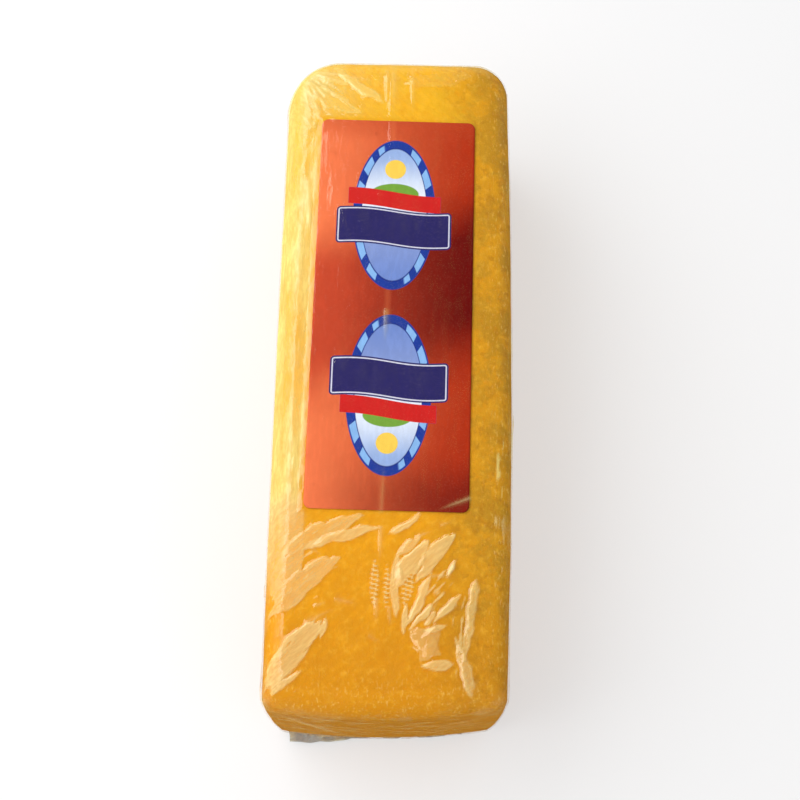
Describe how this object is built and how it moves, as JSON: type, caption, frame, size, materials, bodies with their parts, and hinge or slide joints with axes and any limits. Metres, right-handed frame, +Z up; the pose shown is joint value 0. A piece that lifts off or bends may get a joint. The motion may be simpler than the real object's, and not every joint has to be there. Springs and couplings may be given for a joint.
{
  "type": "cheddar block",
  "caption": "Loaf-shaped orange cheddar block, vacuum packed in clear film, lying flat with a paper label under the film on its top.",
  "frame": {"origin": "middle of the flat base, on the surface that the block lies on", "axes": "+Y along the block towards its far end, +X across it to the right, +Z up towards the label"},
  "size_m": [0.1029, 0.299, 0.0953],
  "materials": {
    "cheese": "smooth, slightly waxy orange-yellow cheese with a finely mottled skin",
    "film": "thin clear glossy plastic film, creased and drawn tight by vacuum",
    "label": "printed paper, orange-red fading to maroon, with plain oval medallions"
  },
  "bodies": {
    "root": {"cheese_pack": "cheese", "label": "label"}
  },
  "joints": []
}
